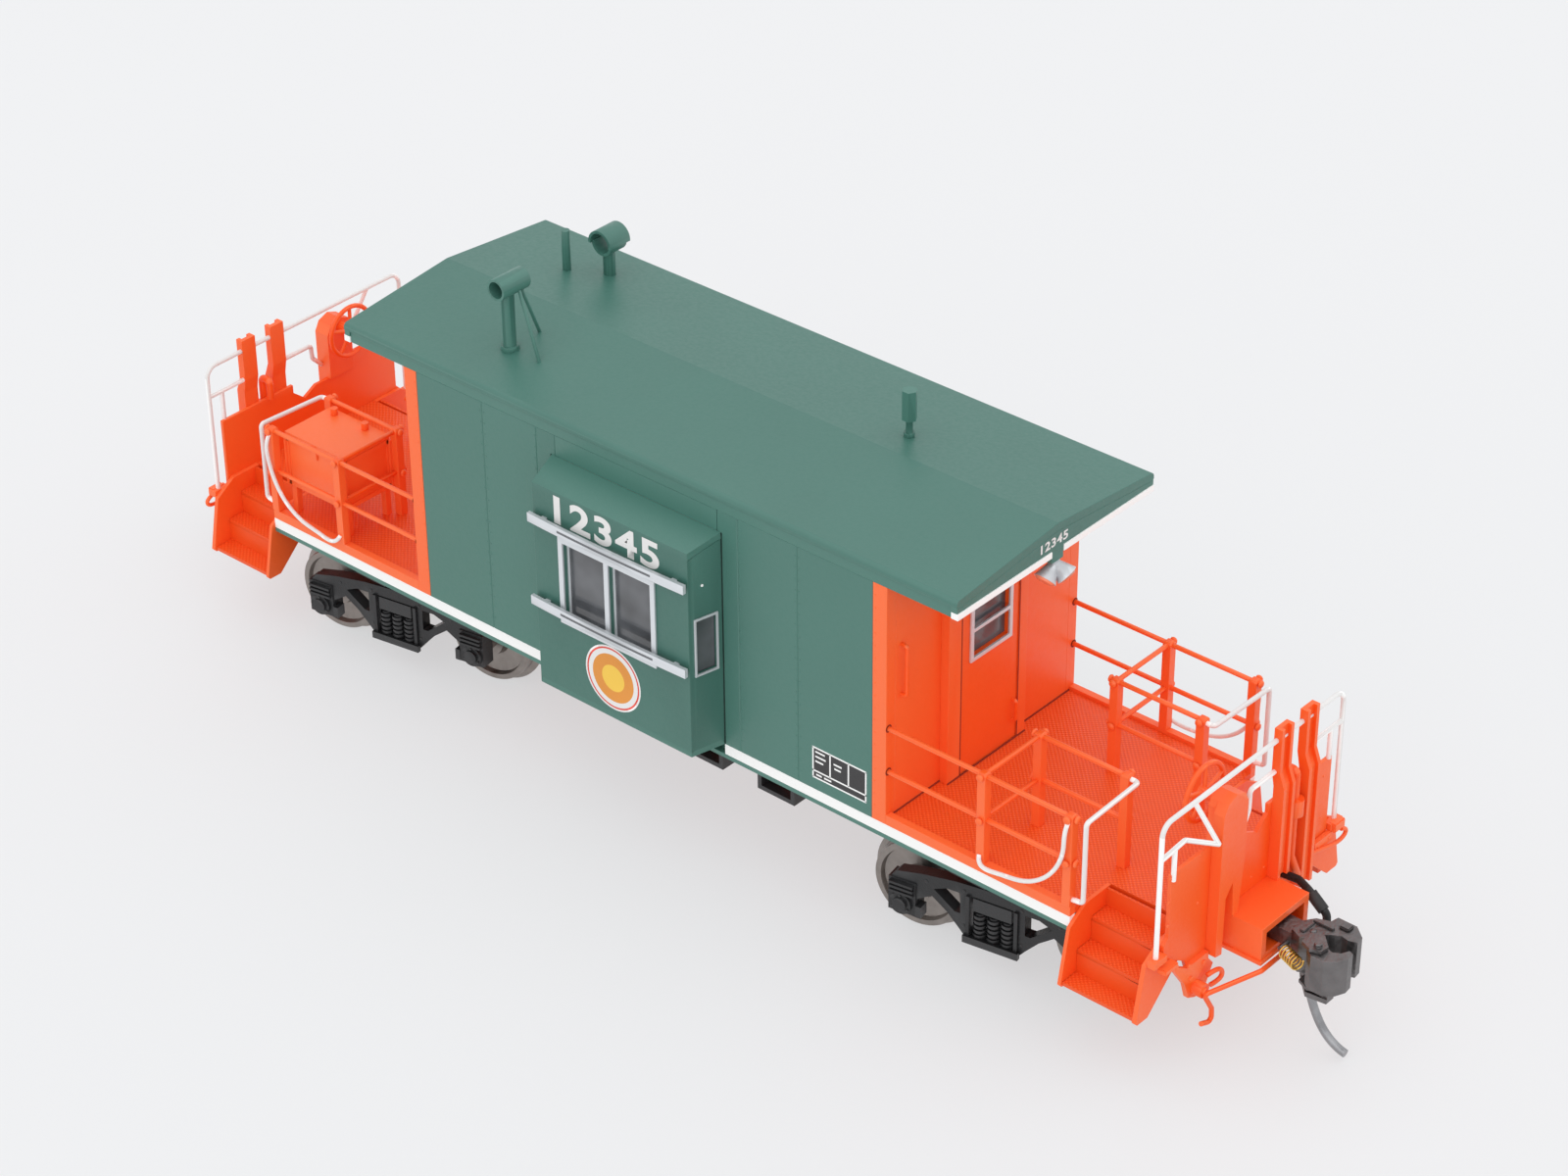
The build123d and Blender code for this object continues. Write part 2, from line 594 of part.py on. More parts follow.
def end_handrails():
    """White hoop across each end, with its braces and drop wires."""
    x = END_SHEET_FRONT
    hoop = bent_wire(hoop_path(), WIRE, 1.3)
    side = HANDRAIL_HALF_WIDTH
    left = bent_wire([(x, -side, 25.3), (x, -10.6, 25.6), (64.15, -6.55, 23.3)], WIRE, 0.6)
    brace = rod((x, -9.4, HANDRAIL_TOP), (64.15, -6.55, 23.3), WIRE)
    left_drop = rod((x, -12.1, 25.4), (x, -12.1, 21.9), WIRE)
    hook = bent_wire([(x, 3.25, 25.6), (x, -0.6, 25.6), (63.4, -0.9, 23.8), (63.8, -2.5, 22.2)], WIRE, 0.5)
    right = rod((x, 9.25, 25.6), (x, side, 25.6), WIRE)
    right_drop = rod((x, 12.4, 25.6), (x, 12.4, 22.2), WIRE)
    frame = hoop + left + brace + left_drop + right + right_drop
    trimmed_hook = hook - brake_housings()[0]
    return both_ends([frame - end_sheets()[0], trimmed_hook])


def air_hoses():
    """Black hose beside each coupler pocket."""
    hose = bent_wire([(63.0, 5.75, 12.5), (65.2, 5.75, 12.7), (66.9, 4.9, 12.8), (69.3, 4.5, 11.4),
                      (69.5, 4.4, 9.6)], 0.8, 0.7)
    hose -= block(60, END_SHEET_FRONT, 4, 8, 10, 15)
    sleeve = rod((67.2, 4.85, 12.63), (68.9, 4.57, 11.63), 1.15)
    return both_ends([hose + sleeve])


def cut_levers():
    """Uncoupling rod from the pocket to its bracket and handle."""
    lever = bent_wire(
        [(68.1, -0.4, 9.25), (68.1, -4.1, 9.25), (65.0, -8.7, 7.6), (65.0, -7.3, 5.2), (65.0, -7.2, 3.6),
         (65.0, -8.9, 4.3)], 0.5, 0.45)
    points = [(-12.4, 12.4), (-9.8, 10.7), (-6.4, 10.7), (-6.4, 9.9), (-5.6, 8.9), (-6.6, 6.9), (-8.2, 6.4),
              (-9.4, 7.0), (-10.0, 8.9)]
    bracket = slab_x(points, END_SHEET_FRONT, 63.7)
    eye = rod((63.7, -8.3, 7.7), (64.78, -8.3, 7.7), 1.5)
    return both_ends([lever, bracket + eye - lever])


def coupler_pockets():
    """Draft-gear box with the post the coupler swings on."""
    half = POCKET_HALF_WIDTH
    box = block(POCKET_BACK, POCKET_FRONT, -half, half, POCKET_BOTTOM, POCKET_TOP)
    box -= block(POCKET_BACK + 0.7, POCKET_FRONT + 1, -3.0, 3.0, 10.55, 12.85)
    box += Pos(COUPLER_PIVOT_X, 0, 11.7) * Cylinder(COUPLER_POST_RADIUS, 2.3)
    return both_ends([box])


def pocket_lids():
    """Thin plate under each pocket."""
    lid = block(POCKET_BACK, POCKET_FRONT + 0.2, -4.0, 4.0, POCKET_BOTTOM - 0.4, POCKET_BOTTOM)
    notch = block(END_SHEET_BACK, END_SHEET_FRONT, 3.75, 4.5, 9, 11)
    lid -= notch
    lid -= mirror(notch, about=Plane.XZ)
    return both_ends([lid])


# ---------------------------------------------------------------- roof fittings
def roof_height(y):
    """Height of the roof surface at a distance from the ridge."""
    return RIDGE_TOP - (RIDGE_TOP - EAVE_TOP) * abs(y) / ROOF_HALF_WIDTH


def stand_on_roof(piece):
    """Trim the foot of a fitting to the slope of the roof."""
    return piece - roof_panel()[0]


def smoke_jack():
    """Stack with a tubular head open at one end, and two brace rods."""
    x, y = -22.6, -8.4
    pipe = rod((x, y, roof_height(y) - 0.3), (x, y, 50.3), 1.35)
    collar = rod((x, y, roof_height(y) - 0.3), (x, y, roof_height(y) + 0.5), 1.9)
    head = rod((x, -10.0, 51.15), (x, -6.2, 51.15), 2.3) - rod((x, -10.1, 51.15), (x, -7.4, 51.15), 1.8)
    stack = stand_on_roof(pipe + collar) + head
    pieces = [stack]
    for top, foot in (((x + 0.3, -6.8, 50.35), (-22.3, -4.4)), ((x + 0.9, -7.6, 50.5), (-18.4, -8.5))):
        brace = rod(top, (foot[0], foot[1], roof_height(foot[1]) - 0.2), 0.36)
        pieces.append(stand_on_roof(brace) - stack)
    return [stack] + [piece.solids().sort_by(SortBy.VOLUME)[-1] for piece in pieces[1:]]


def roof_vents():
    """Plain pipe, hooded vent and canned vent."""
    plain = rod((-29.6, 7.1, 43.8), (-29.6, 7.1, 48.65), 0.9)
    stem = rod((-25.9, 9.6, 43.5), (-25.9, 9.6, 46.5), 1.3)
    front, back, middle = 8.2, 11.2, 47.7
    cap = rod((-25.9, front, middle), (-25.9, back, middle), 3.1)
    cap -= rod((-25.9, front - 0.1, middle), (-25.9, back + 0.1, middle), 2.5)
    cap -= block(-28, -24, front - 1, back + 1, 46, middle - 0.15)
    trough = rod((-25.9, front + 0.3, middle), (-25.9, back - 0.3, middle), 2.7)
    trough -= rod((-25.9, front - 0.1, middle), (-25.9, back + 0.1, middle), 2.1)
    trough -= block(-28, -24, front - 1, back + 1, middle + 0.1, 50)
    hood = cap + trough
    can_stem = rod((19.1, 3.6, 44.1), (19.1, 3.6, 46.4), 0.7)
    collar = rod((19.1, 3.6, 44.0), (19.1, 3.6, 44.9), 1.1)
    can = Pos(19.1, 3.6, 46.3) * extrude(RegularPolygon(0.78, 6), amount=3.2)
    vents = [plain, stem + hood, can_stem + collar + can]
    return [stand_on_roof(vent) for vent in vents]


# ---------------------------------------------------------------- trucks
def to_truck(piece, end):
    """Turn a piece drawn about a truck centre and move it to one end of the car."""
    return Pos(end * TRUCK_CENTRE, 0, 0) * Rot(0, 0, TRUCK_TURN) * piece


def side_frame():
    """Cast side frame with its windows, bearing boxes and bearing holes."""
    half = [(0, 10.3), (4.0, 10.1), (7.7, 9.6), (10.4, 9.0), (11.2, 8.1), (11.2, 4.6), (10.4, 4.1),
            (9.4, 4.1), (8.4, 4.8), (8.2, 6.4), (6.6, 7.4), (5.0, 6.2), (3.6, 4.7), (2.5, 3.4)]
    points = half + [(-x, z) for x, z in reversed(half[1:])]
    frame = slab_y(points, -12.2, -10.9)
    frame -= slab_y([(-2.4, 4.4), (2.4, 4.4), (2.4, 9.0), (-2.4, 9.0)], -13, -10)
    for side in (-1, 1):
        window = [(side * 3.5, 6.5), (side * 4.1, 6.5), (side * 6.4, 8.3), (side * 5.0, 8.9),
                  (side * 3.5, 8.9)]
        frame -= slab_y(window, -13, -10)
        box = block(side * 8.3, side * 11.3, -12.35, -10.6, 4.3, 8.2)
        for rib_z in (6.75, 7.25, 7.75):
            box += block(side * 8.5, side * 11.1, -12.7, -12.35, rib_z - 0.13, rib_z + 0.13)
        axle_x = side * WHEELBASE / 2
        cap = rod((axle_x, -12.3, AXLE_Z), (axle_x, -12.62, AXLE_Z), 2.4)
        cap += rod((axle_x, -12.6, AXLE_Z), (axle_x, -12.86, AXLE_Z), 1.5)
        lug = block(side * 7.7, side * 8.3, -12.4, -11.2, 4.3, 5.6)
        frame += box + cap + lug
        bore = rod((axle_x, -10.5, AXLE_Z), (axle_x, -12.1, AXLE_Z), 2 * (JOURNAL_RADIUS + BEARING_CLEARANCE))
        frame -= bore
        frame += block(side * 2.4, side * 2.8, -12.45, -12.2, 4.4, 9.0)
    frame += block(-3.0, 3.0, -12.7, -12.2, 3.6, 4.4)
    return frame


def truck_side_frames(end):
    """The two side frames of a truck."""
    return [to_truck(piece, end) for piece in both_sides([side_frame()])]


def truck_bolster(end):
    """Bolster across the truck, deep at the kingpin, with its ends in the side frames."""
    profile = [(-12.3, 7.4), (-9.0, 6.9), (9.0, 6.9), (12.3, 7.4), (12.3, 8.9), (10.0, 8.9), (3.2, 9.85),
               (-3.2, 9.85), (-10.0, 8.9), (-12.3, 8.9)]
    bolster = slab_x(profile, -2.1, 2.1)
    bolster -= Pos(0, 0, 8.4) * Cylinder(KINGPIN_RADIUS + BEARING_CLEARANCE, 4)
    return [to_truck(bolster, end)]


def truck_springs(end):
    """Three coil springs under each end of the bolster, drawn as columns of stacked rings."""
    base = (Align.CENTER, Align.CENTER, Align.MIN)
    pieces = []
    for x in (-1.5, 0, 1.5):
        column = Cylinder(0.5, 2.75, align=base)
        for turn in range(5):
            column += Pos(0, 0, 0.05 + 0.55 * turn) * Cylinder(0.72, 0.32, align=base)
        pieces.append(Pos(x, -11.75, 4.4) * column)
    return [to_truck(piece, end) for piece in both_sides(pieces)]


def wheelset(end, axle):
    """Axle with two flanged wheels."""
    shaft = rod((0, -10.4, 0), (0, 10.4, 0), 1.6) + rod((0, -12.0, 0), (0, 12.0, 0), 2 * JOURNAL_RADIUS)
    profile = [
        (0.8, WHEEL_BACK - 0.2), (1.6, WHEEL_BACK - 0.2), (1.6, WHEEL_BACK + 0.45), (4.0, WHEEL_BACK + 0.6),
        (4.0, WHEEL_BACK), (5.25, WHEEL_BACK), (FLANGE_RADIUS, WHEEL_BACK + 0.2),
        (FLANGE_RADIUS, WHEEL_BACK + 0.45), (5.1, WHEEL_BACK + 0.65), (4.86, WHEEL_BACK + 0.8),
        (TREAD_RADIUS - 0.06, WHEEL_FACE - 0.1), (TREAD_RADIUS - 0.16, WHEEL_FACE), (4.1, WHEEL_FACE),
        (3.95, WHEEL_FACE - 0.6), (1.9, WHEEL_FACE - 0.75), (1.6, WHEEL_FACE + 0.1), (0.8, WHEEL_FACE + 0.1),
    ]
    disc = revolve(Plane.XY * Polygon(*profile, align=None), Axis.Y)
    pieces = [shaft] + both_sides([disc])
    return [to_truck(Pos(axle * WHEELBASE / 2, 0, AXLE_Z) * piece, end) for piece in pieces]


def kingpin_screws():
    """Screw up through each truck bolster into the body bolster."""
    shank = rod((TRUCK_CENTRE, 0, 6.8), (TRUCK_CENTRE, 0, 12.6), 2 * KINGPIN_RADIUS)
    head = rod((TRUCK_CENTRE, 0, 5.7), (TRUCK_CENTRE, 0, 6.8), 2.9)
    slot = block(TRUCK_CENTRE - 2, TRUCK_CENTRE + 2, -0.2, 0.2, 5.5, 6.1)
    return both_ends([shank + head - slot])


# ---------------------------------------------------------------- couplers
def coupler_bodies():
    """Shank and head with the guard arm, the knuckle lugs and the knuckle pin."""
    shank = block(COUPLER_PIVOT_X, 69.6, -1.15, 1.15, 10.75, 12.45)
    shank += Pos(COUPLER_PIVOT_X, 0, 11.6) * Cylinder(1.7, 1.7)
    shank -= Pos(COUPLER_PIVOT_X, 0, 11.6) * Cylinder(COUPLER_POST_RADIUS + BEARING_CLEARANCE, 3)
    plan = [(69.2, -1.2), (69.3, 0.6), (70.0, 1.6), (71.3, 2.1), (71.5, 3.0), (73.6, 3.0), (74.9, 1.9),
            (75.0, 1.0), (74.1, 0.7), (73.3, 0.9), (72.3, 0.3), (71.6, -0.4), (71.3, -1.3), (70.4, -1.7)]
    head = slab_z(plan, 8.9, 13.0)
    px, py = KNUCKLE_PIN
    lug_plan = [(71.0, -0.6), (71.0, -2.2), (72.2, -2.75), (73.3, -2.4), (73.4, -1.4), (72.2, -0.2)]
    lugs = slab_z(lug_plan, 12.75, 13.15) + slab_z(lug_plan, 8.3, 8.65)
    riser = block(70.4, 71.2, -1.2, -0.6, 8.3, 9.2)
    pin = rod((px, py, 8.3), (px, py, 13.3), 2 * KNUCKLE_PIN_RADIUS)
    spring_post = rod((68.8, -0.8, 11.2), (68.8, -2.4, 11.2), 0.5)
    return shank + head + lugs + riser + pin + spring_post


def coupler_knuckle():
    """Hooked jaw that turns on the knuckle pin."""
    px, py = KNUCKLE_PIN
    plan = [(71.9, -1.5), (71.8, -2.5), (72.6, -3.05), (74.0, -3.0), (75.0, -2.3), (75.5, -1.2), (75.4, -0.3),
            (74.9, -0.1), (74.5, -0.9), (73.8, -1.3), (72.8, -1.0), (72.2, -1.05)]
    jaw = slab_z(plan, 8.7, 12.7)
    jaw -= Pos(px, py, 10.7) * Cylinder(KNUCKLE_PIN_RADIUS + BEARING_CLEARANCE, 6)
    arm_plan = [(70.1, -0.7), (70.1, 0.5), (71.0, 0.6), (74.4, -1.4), (74.4, -2.6), (72.2, -2.9)]
    arm = slab_z(arm_plan, 7.65, 8.2)
    web = block(73.55, 74.4, -2.5, -1.5, 8.2, 8.7)
    return jaw + arm + web


def coupler_trip_pin():
    """Curved steel pin that hangs from the knuckle arm and runs forward above the rails."""
    pin = curved_wire([(70.75, -0.1, 7.9), (70.8, -0.1, 7.0), (71.55, -0.1, 4.4), (73.1, -0.1, 2.0),
                       (75.4, -0.1, 0.8)], 0.85)
    return pin - block(69, 72, -2, 2, 7.65, 9)


def coupler_spring():
    """Fine coil between the head and the knuckle."""
    coil = Helix(pitch=0.38, height=2.3, radius=0.6)
    start = Plane(origin=coil @ 0, z_dir=coil % 0)
    spring = sweep(start * Circle(0.1), path=coil)
    direction = Vector(0.93, -0.37, 0)
    return Plane(origin=(69.3, -2.4, 11.2), z_dir=direction.normalized()) * spring


def write_coupler(name, turn):
    """Write the four parts of one coupler."""
    pieces = {
        "body": coupler_bodies(),
        "knuckle": coupler_knuckle(),
        "trip_pin": coupler_trip_pin(),
        "spring": coupler_spring(),
    }
    for part, piece in pieces.items():
        save(f"{name}_{part}", [piece.rotate(Axis.Z, turn)])


def write_truck(name, end):
    """Write the parts of one truck and its two wheelsets."""
    save(f"{name}_side_frames", truck_side_frames(end))
    save(f"{name}_bolster", truck_bolster(end))
    save(f"{name}_springs", truck_springs(end))
    save(f"{name}_wheelset_outer", wheelset(end, end))
    save(f"{name}_wheelset_inner", wheelset(end, -end))


BODY_PARTS = [
    roof_panel, roof_eave_strips, roof_end_fascias, roof_end_trims, end_lamps, lamp_lenses,
    side_walls, corner_posts, end_walls, end_doors, door_window_frames,
    bays, bay_window_frames, bay_guide_rails, window_panes,
    deck_plate, deck_edge_bands, sill_stripes, side_sills, underframe, underfloor_gear,
    pen_posts, pen_rails, pen_grab_wires, wall_grab_irons, tool_box, step_sides, step_treads,
    end_sheets, end_posts, end_air_pipes, brake_housings, brake_wheels, end_handrails,
    air_hoses, cut_levers, coupler_pockets, pocket_lids,
    smoke_jack, roof_vents, kingpin_screws,
]

for make_part in BODY_PARTS:
    save(make_part.__name__, make_part())
write_truck("truck_a", 1)
write_truck("truck_b", -1)
write_coupler("coupler_a", 0)
write_coupler("coupler_b", 180)
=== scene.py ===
"""Looks of a bay-window model caboose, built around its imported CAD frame."""
import json
import math

import bmesh
import bpy
from mathutils import Matrix, Vector


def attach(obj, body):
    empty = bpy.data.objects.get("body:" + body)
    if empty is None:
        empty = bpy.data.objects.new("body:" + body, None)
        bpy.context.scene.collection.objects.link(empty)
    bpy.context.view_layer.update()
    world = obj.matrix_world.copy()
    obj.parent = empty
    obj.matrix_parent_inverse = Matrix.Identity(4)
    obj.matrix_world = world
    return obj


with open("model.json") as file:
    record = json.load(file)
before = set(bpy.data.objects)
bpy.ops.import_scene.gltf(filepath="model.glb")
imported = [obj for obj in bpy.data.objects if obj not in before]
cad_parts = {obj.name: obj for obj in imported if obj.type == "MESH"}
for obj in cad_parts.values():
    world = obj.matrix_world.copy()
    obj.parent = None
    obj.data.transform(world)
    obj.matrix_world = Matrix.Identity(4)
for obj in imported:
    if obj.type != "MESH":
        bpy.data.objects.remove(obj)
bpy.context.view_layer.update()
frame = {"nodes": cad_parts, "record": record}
MM = 0.001
CAR = "car_body"
SCENE = bpy.context.scene

# ---------------------------------------------------------------- the car's own places (mm)

# The CAD stands on Z = 0 with X along the car. A face is given by its distance from the middle.
WALL_FACE = 14.66
BAY_FRONT = 18.48
BODY_END = 31.6
DOORWAY_FACE = 32.6
ROOF_END = 39.93
END_SHEET_FACE = 63.2
DECK_TOP = 15.2
COUPLER_TOP = 12.95
PEN_X = (43.1, 53.2)
PEN_Y = (14.3, 5.9)
RAIL_Z = (25.45, 20.5)
POST_HALF = 0.7
TRUCK_CENTRE = 40.56
TRUCK_TURN = math.radians(10.1)
AXLES = (-9.9, 9.9)
AXLE_Z = 5.45
TOOL_BOX_X = (-52.5, -43.8)
TOOL_BOX_Y = (-13.0, -6.5)

# ---------------------------------------------------------------- camera

CAMERA_AT = (224.285, -247.445, 237.142)
CAMERA_AZIMUTH = 41.404
CAMERA_ELEVATION = 32.942
CAMERA_ROLL = -0.550
LENS = 90.35


def make_camera():
    """A long lens looking down on the near corner of the car."""
    azimuth, elevation, roll = (math.radians(a) for a in (CAMERA_AZIMUTH, CAMERA_ELEVATION, CAMERA_ROLL))
    back = Vector((math.sin(azimuth) * math.cos(elevation), -math.cos(azimuth) * math.cos(elevation),
                   math.sin(elevation)))
    side = (-back).cross(Vector((0, 0, 1))).normalized()
    up = side.cross(-back)
    right = side * math.cos(roll) + up * math.sin(roll)
    upright = up * math.cos(roll) - side * math.sin(roll)
    matrix = Matrix((right, upright, back)).transposed().to_4x4()
    matrix.translation = Vector(CAMERA_AT) * MM
    data = bpy.data.cameras.new("camera")
    data.lens = LENS
    data.sensor_width = 36
    data.clip_start = 0.01
    camera = bpy.data.objects.new("camera", data)
    camera.matrix_world = matrix
    SCENE.collection.objects.link(camera)
    SCENE.camera = camera


make_camera()

# ---------------------------------------------------------------- materials


def new_material(name):
    """An empty node material: its tree, its shader and its texture coordinates in millimetres."""
    material = bpy.data.materials.new(name)
    material.use_nodes = True
    tree = material.node_tree
    shader = tree.nodes["Principled BSDF"]
    coords = tree.nodes.new("ShaderNodeTexCoord")
    scale = tree.nodes.new("ShaderNodeVectorMath")
    scale.operation = "SCALE"
    scale.inputs["Scale"].default_value = 1000
    tree.links.new(coords.outputs["Object"], scale.inputs[0])
    return material, tree, shader, scale.outputs["Vector"]


def noise(tree, vector, scale, detail=3):
    """Noise of this many cells per millimetre."""
    node = tree.nodes.new("ShaderNodeTexNoise")
    node.inputs["Scale"].default_value = scale
    node.inputs["Detail"].default_value = detail
    tree.links.new(vector, node.inputs["Vector"])
    return node.outputs["Fac"]


def remap(tree, value, low, high, start=0.3, end=0.7):
    """The value's range from start to end stretched to low to high."""
    node = tree.nodes.new("ShaderNodeMapRange")
    node.inputs["From Min"].default_value = start
    node.inputs["From Max"].default_value = end
    node.inputs["To Min"].default_value = low
    node.inputs["To Max"].default_value = high
    tree.links.new(value, node.inputs["Value"])
    return node.outputs["Result"]


def blend_colours(tree, factor, a, b):
    """Colour a where the factor is 0, b where it is 1."""
    node = tree.nodes.new("ShaderNodeMix")
    node.data_type = "RGBA"
    for key, value in (("A", a), ("B", b)):
        socket = next(s for s in node.inputs if s.name == key and s.type == "RGBA")
        if isinstance(value, tuple):
            socket.default_value = (*value, 1)
        else:
            tree.links.new(value, socket)
    tree.links.new(factor, node.inputs[0])
    return next(s for s in node.outputs if s.type == "RGBA")


def edges(tree):
    """1 on convex edges, 0 on flats."""
    geometry = tree.nodes.new("ShaderNodeNewGeometry")
    return remap(tree, geometry.outputs["Pointiness"], 0, 1, 0.52, 0.58)


def maths(tree, operation, first, second=None):
    """A math node on one value, and on a second value or number where the operation needs it."""
    node = tree.nodes.new("ShaderNodeMath")
    node.operation = operation
    tree.links.new(first, node.inputs[0])
    if isinstance(second, float):
        node.inputs[1].default_value = second
    elif second is not None:
        tree.links.new(second, node.inputs[1])
    return node.outputs[0]


def bump(tree, height, shader, depth_mm):
    """Relief of this depth on the shader."""
    node = tree.nodes.new("ShaderNodeBump")
    node.inputs["Distance"].default_value = depth_mm * MM
    tree.links.new(height, node.inputs["Height"])
    tree.links.new(node.outputs["Normal"], shader.inputs["Normal"])


def paint(name, colour, rough=0.42, specular=0.5, metallic=0.0, variation=0.10, grain=0.012, worn=None):
    """Sprayed paint: faint blotches, fine orange peel and lighter edges."""
    material, tree, shader, vector = new_material(name)
    blotch = remap(tree, noise(tree, vector, 0.09, 4), 0, 1)
    fine = remap(tree, noise(tree, vector, 2.2, 2), 0, 1)
    dark = tuple(c * (1 - variation) for c in colour)
    light = tuple(min(1, c * (1 + variation)) for c in colour)
    shade = blend_colours(tree, blotch, dark, light)
    edge_colour = worn or tuple(min(1, c * 1.25 + 0.015) for c in colour)
    shade = blend_colours(tree, edges(tree), shade, edge_colour)
    tree.links.new(shade, shader.inputs["Base Color"])
    tree.links.new(remap(tree, fine, rough - 0.05, rough + 0.07, 0, 1), shader.inputs["Roughness"])
    shader.inputs["Metallic"].default_value = metallic
    shader.inputs["Specular IOR Level"].default_value = specular
    bump(tree, noise(tree, vector, 5.0, 2), shader, grain)
    return material


TREAD_PITCH = 0.5
TREAD_DEPTH = 0.03


def tread_paint(name, colour):
    """Paint over a fine stamped tread: a close grid of raised dots on the faces that look up, with the
    hollows between them and every face that does not look up painted darker as shade.
    """
    material = paint(name, colour, rough=0.45, grain=0.01)
    tree = material.node_tree
    shader = tree.nodes["Principled BSDF"]
    vector = next(n for n in tree.nodes if n.type == "VECT_MATH").outputs["Vector"]
    place = tree.nodes.new("ShaderNodeSeparateXYZ")
    tree.links.new(vector, place.inputs[0])
    waves = [maths(tree, "SINE", maths(tree, "MULTIPLY", place.outputs[axis], 2 * math.pi / TREAD_PITCH))
             for axis in ("X", "Y")]
    dots = remap(tree, maths(tree, "MULTIPLY", *waves), 0, 1, -0.2, 0.6)
    facing = tree.nodes.new("ShaderNodeSeparateXYZ")
    coords = next(n for n in tree.nodes if n.type == "TEX_COORD")
    tree.links.new(coords.outputs["Normal"], facing.inputs[0])
    upward = remap(tree, facing.outputs["Z"], 0, 1, 0.5, 0.8)
    height = maths(tree, "MULTIPLY", dots, upward)
    bump(tree, height, shader, TREAD_DEPTH)
    base = shader.inputs["Base Color"].links[0].from_socket
    # Painted shade: where the dots are low, and over faces that do not look up, the paint is drawn 14%
    # darker.
    painted_pit_shade = tuple(c * 0.86 for c in colour)
    tree.links.new(blend_colours(tree, height, painted_pit_shade, base), shader.inputs["Base Color"])
    return material


def metal(name, colour, rough=0.3, grain=0.01, scale=3.0, variation=0.15):
    """Bare or plated metal with faint uneven polish."""
    material, tree, shader, vector = new_material(name)
    blotch = remap(tree, noise(tree, vector, 0.8, 4), 0, 1)
    dark = tuple(c * (1 - variation) for c in colour)
    light = tuple(min(1, c * (1 + variation)) for c in colour)
    tree.links.new(blend_colours(tree, blotch, dark, light), shader.inputs["Base Color"])
    shader.inputs["Metallic"].default_value = 1.0
    tree.links.new(remap(tree, blotch, rough - 0.08, rough + 0.1, 0, 1), shader.inputs["Roughness"])
    bump(tree, noise(tree, vector, scale, 3), shader, grain)
    return material


def glass(name, colour, rough=0.06):
    """Dark window glass with a faint haze."""
    material, tree, shader, vector = new_material(name)
    haze = remap(tree, noise(tree, vector, 0.22, 2), 0, 1)
    dark = tuple(c * 0.6 for c in colour)
    light = tuple(c * 1.5 for c in colour)
    tree.links.new(blend_colours(tree, haze, dark, light), shader.inputs["Base Color"])
    tree.links.new(remap(tree, haze, rough, rough + 0.08, 0, 1), shader.inputs["Roughness"])
    shader.inputs["Specular IOR Level"].default_value = 0.8
    bump(tree, noise(tree, vector, 0.6, 1), shader, 0.01)
    return material


GREEN = paint("green_paint", (0.046, 0.150, 0.118), rough=0.40, specular=0.6, variation=0.05)
ORANGE = paint("orange_paint", (1.0, 0.108, 0.008), rough=0.42, worn=(1.0, 0.17, 0.04), variation=0.04)
ORANGE_TREAD = tread_paint("orange_tread", (1.0, 0.105, 0.009))
WHITE = paint("white_paint", (0.80, 0.79, 0.77), rough=0.4, variation=0.03)
SILVER = paint("silver_paint", (0.56, 0.58, 0.60), rough=0.38, metallic=0.35, variation=0.06)
BLACK = paint("black_paint", (0.012, 0.011, 0.012), rough=0.38, specular=0.5)
CASTING = paint("black_casting", (0.012, 0.012, 0.013), rough=0.34, specular=0.5, grain=0.03)
RUBBER = paint("black_rubber", (0.02, 0.02, 0.02), rough=0.6, specular=0.4)
WHEEL = metal("wheel_steel", (0.30, 0.27, 0.25), rough=0.36)
COUPLER = metal("coupler_metal", (0.19, 0.18, 0.18), rough=0.42, grain=0.08, scale=2.0)
STEEL = metal("plated_steel", (0.32, 0.32, 0.33), rough=0.25)
GILT = metal("gilt_wire", (0.75, 0.48, 0.12), rough=0.25)
GLASS = glass("window_glass", (0.085, 0.088, 0.095))
LENS_GLASS = glass("lamp_lens", (0.75, 0.25, 0.14), rough=0.15)
RED = paint("sign_red", (0.70, 0.06, 0.035), rough=0.35, variation=0.05)
AMBER = paint("sign_amber", (0.72, 0.27, 0.03), rough=0.35, variation=0.12)
YELLOW = paint("sign_yellow", (0.88, 0.55, 0.06), rough=0.35, variation=0.08)
DARK_SEAM = paint("dark_seam", (0.22, 0.02, 0.006), rough=0.8, specular=0.2)
GREEN_SEAM = paint("green_seam", (0.004, 0.02, 0.014), rough=0.8, specular=0.2)
# Painted shade: the dark grey of the shadowed grooves in the bays' guide rails.
GROOVE_SHADE = paint("painted_groove_shade", (0.16, 0.165, 0.175), rough=0.6, specular=0.3)

SLOT_MATERIALS = {
    "green_paint": GREEN, "orange_paint": ORANGE, "white_paint": WHITE, "silver_trim": SILVER,
    "clear_glass": GLASS, "amber_lens": LENS_GLASS, "black_paint": BLACK, "black_casting": CASTING,
    "black_rubber": RUBBER, "plated_steel": STEEL, "wheel_steel": WHEEL, "coupler_metal": COUPLER,
    "gilt_wire": GILT,
}
TREAD_NODES = ("deck_plate", "step_treads")
WELD_WITHIN = 0.002
BEVEL_WIDTH = 0.05


def dress_cad_nodes():
    """A procedural material and softened edges on every CAD node that stays in view."""
    slots = {row["node"]: row["material_slot"] for row in frame["record"]["subparts"]}
    for name, node in frame["nodes"].items():
        material = ORANGE_TREAD if name in TREAD_NODES else SLOT_MATERIALS[slots[name]]
        node.data.materials.clear()
        node.data.materials.append(material)
        weld = node.modifiers.new("weld", "WELD")
        weld.merge_threshold = WELD_WITHIN * MM
        bevel = node.modifiers.new("bevel", "BEVEL")
        bevel.width = BEVEL_WIDTH * MM
        bevel.segments = 2
        bevel.limit_method = "ANGLE"
        bevel.angle_limit = math.radians(38)
        bevel.harden_normals = True


dress_cad_nodes()

# ---------------------------------------------------------------- small pieces


